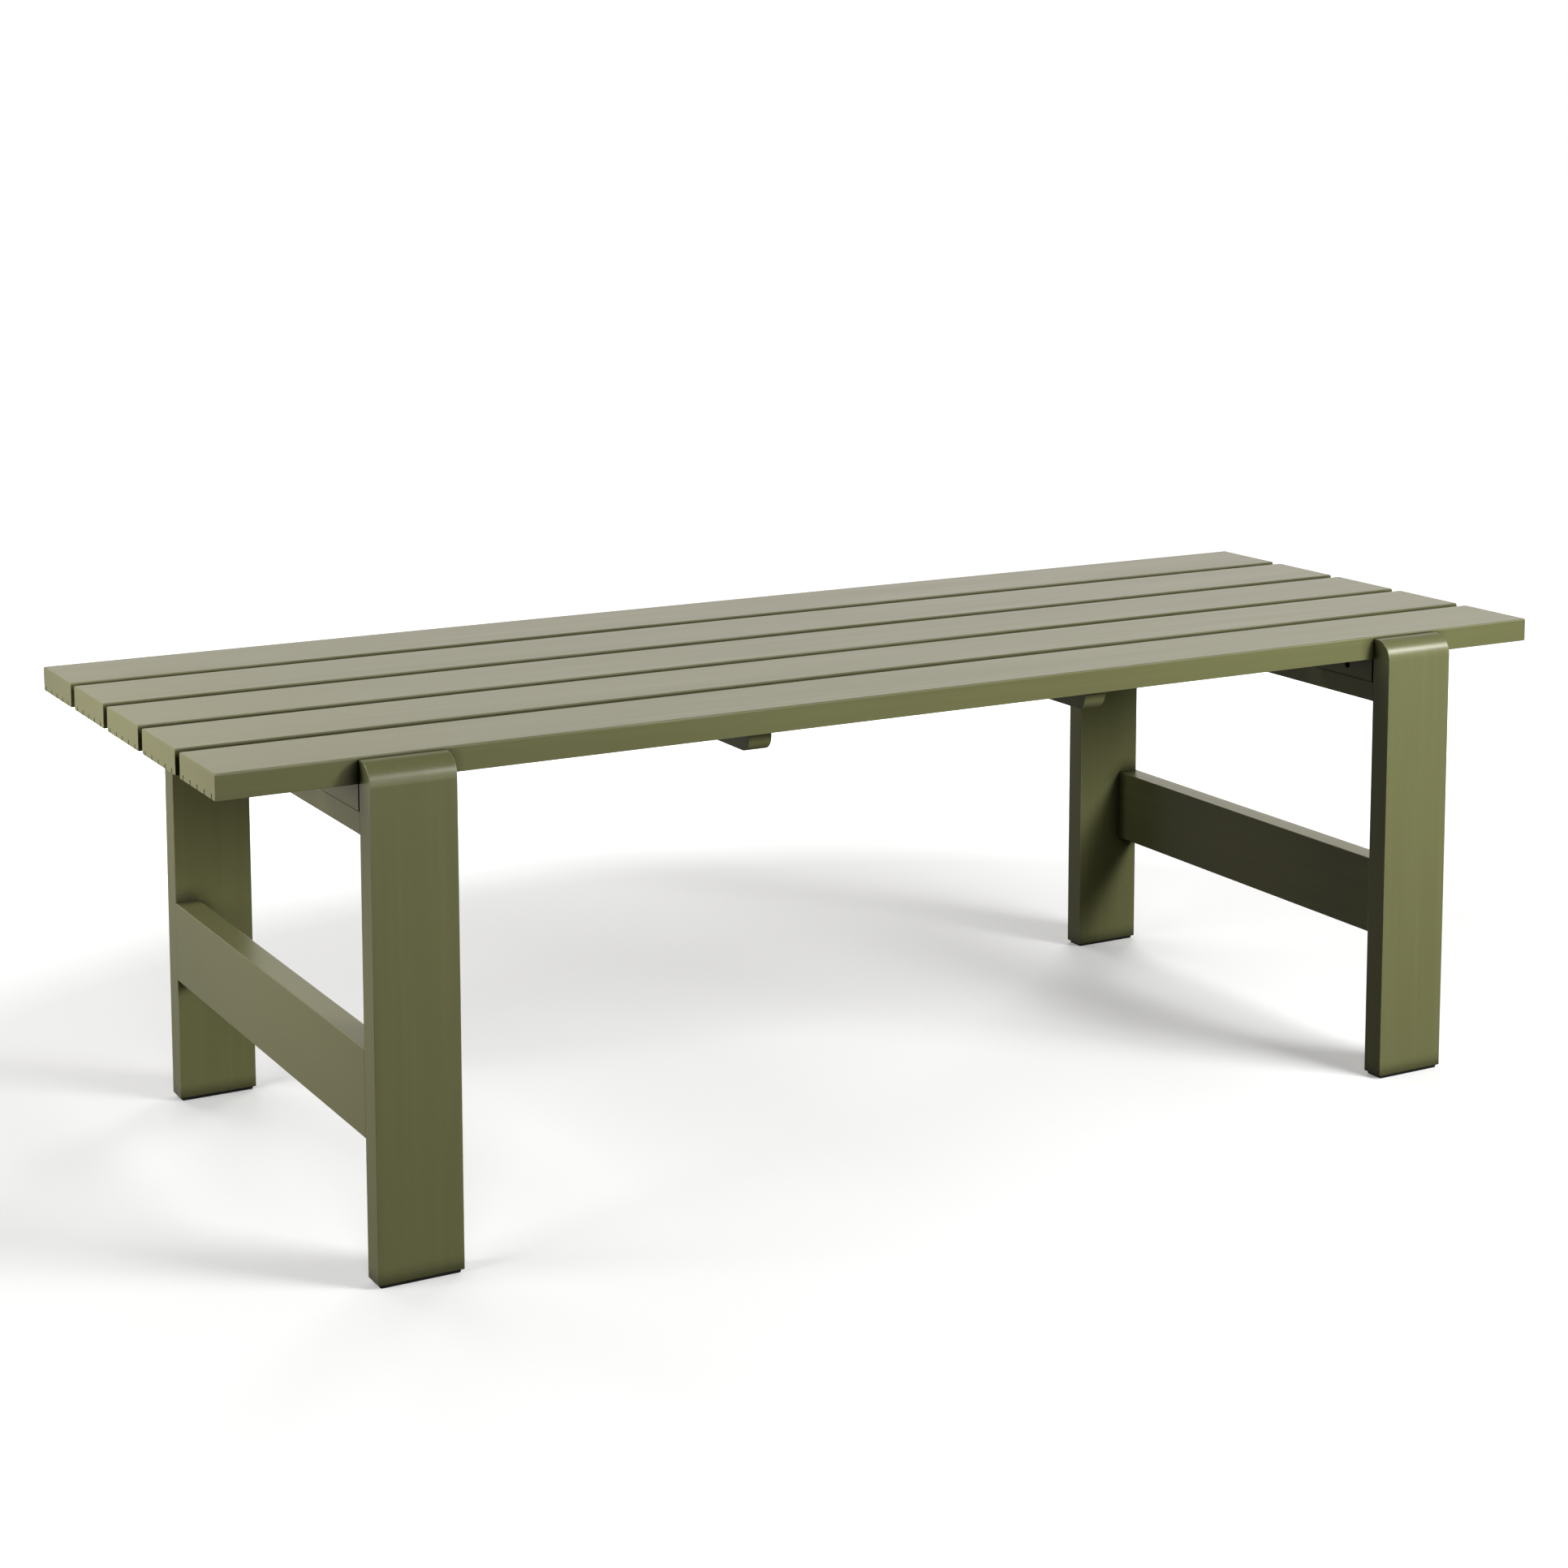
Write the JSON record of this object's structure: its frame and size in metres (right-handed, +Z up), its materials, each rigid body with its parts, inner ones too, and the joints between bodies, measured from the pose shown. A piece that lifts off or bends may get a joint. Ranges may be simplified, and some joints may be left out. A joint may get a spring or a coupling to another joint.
{
  "type": "slatted outdoor table",
  "caption": "Long slatted outdoor table in painted timber: spaced boards on cross battens, two trestles with wide plank legs rounded over at the top, rails, low stretchers and black foot pads.",
  "frame": {"origin": "on the floor under the middle of the top", "axes": "+X along the boards, +Y to the back, +Z up"},
  "size_m": [2.3, 0.91, 0.74],
  "materials": {
    "painted_timber": "satin lacquer",
    "foot_rubber": "matte",
    "hardware_steel": "zinc plated",
    "dowel_wood": "bare"
  },
  "bodies": {
    "root": {"barrel_nuts_left": "hardware_steel", "barrel_nuts_right": "hardware_steel", "end_batten_left": "painted_timber", "end_batten_right": "painted_timber", "end_batten_screws_left": "hardware_steel", "end_batten_screws_right": "hardware_steel", "foot_pad_back_left": "foot_rubber", "foot_pad_back_right": "foot_rubber", "foot_pad_front_left": "foot_rubber", "foot_pad_front_right": "foot_rubber", "foot_pad_screws_left": "hardware_steel", "foot_pad_screws_right": "hardware_steel", "leg_back_left": "painted_timber", "leg_back_right": "painted_timber", "leg_front_left": "painted_timber", "leg_front_right": "painted_timber", "middle_batten_left": "painted_timber", "middle_batten_right": "painted_timber", "middle_batten_screws_left": "hardware_steel", "middle_batten_screws_right": "hardware_steel", "rail_bolt_washers_left": "hardware_steel", "rail_bolt_washers_right": "hardware_steel", "rail_bolts_left": "hardware_steel", "rail_bolts_right": "hardware_steel", "rail_dowels_left": "dowel_wood", "rail_dowels_right": "dowel_wood", "rail_left": "painted_timber", "rail_right": "painted_timber", "slat_1": "painted_timber", "slat_2": "painted_timber", "slat_3": "painted_timber", "slat_4": "painted_timber", "slat_5": "painted_timber", "stretcher_dowels_left": "dowel_wood", "stretcher_dowels_right": "dowel_wood", "stretcher_left": "painted_timber", "stretcher_right": "painted_timber"}
  },
  "joints": []
}
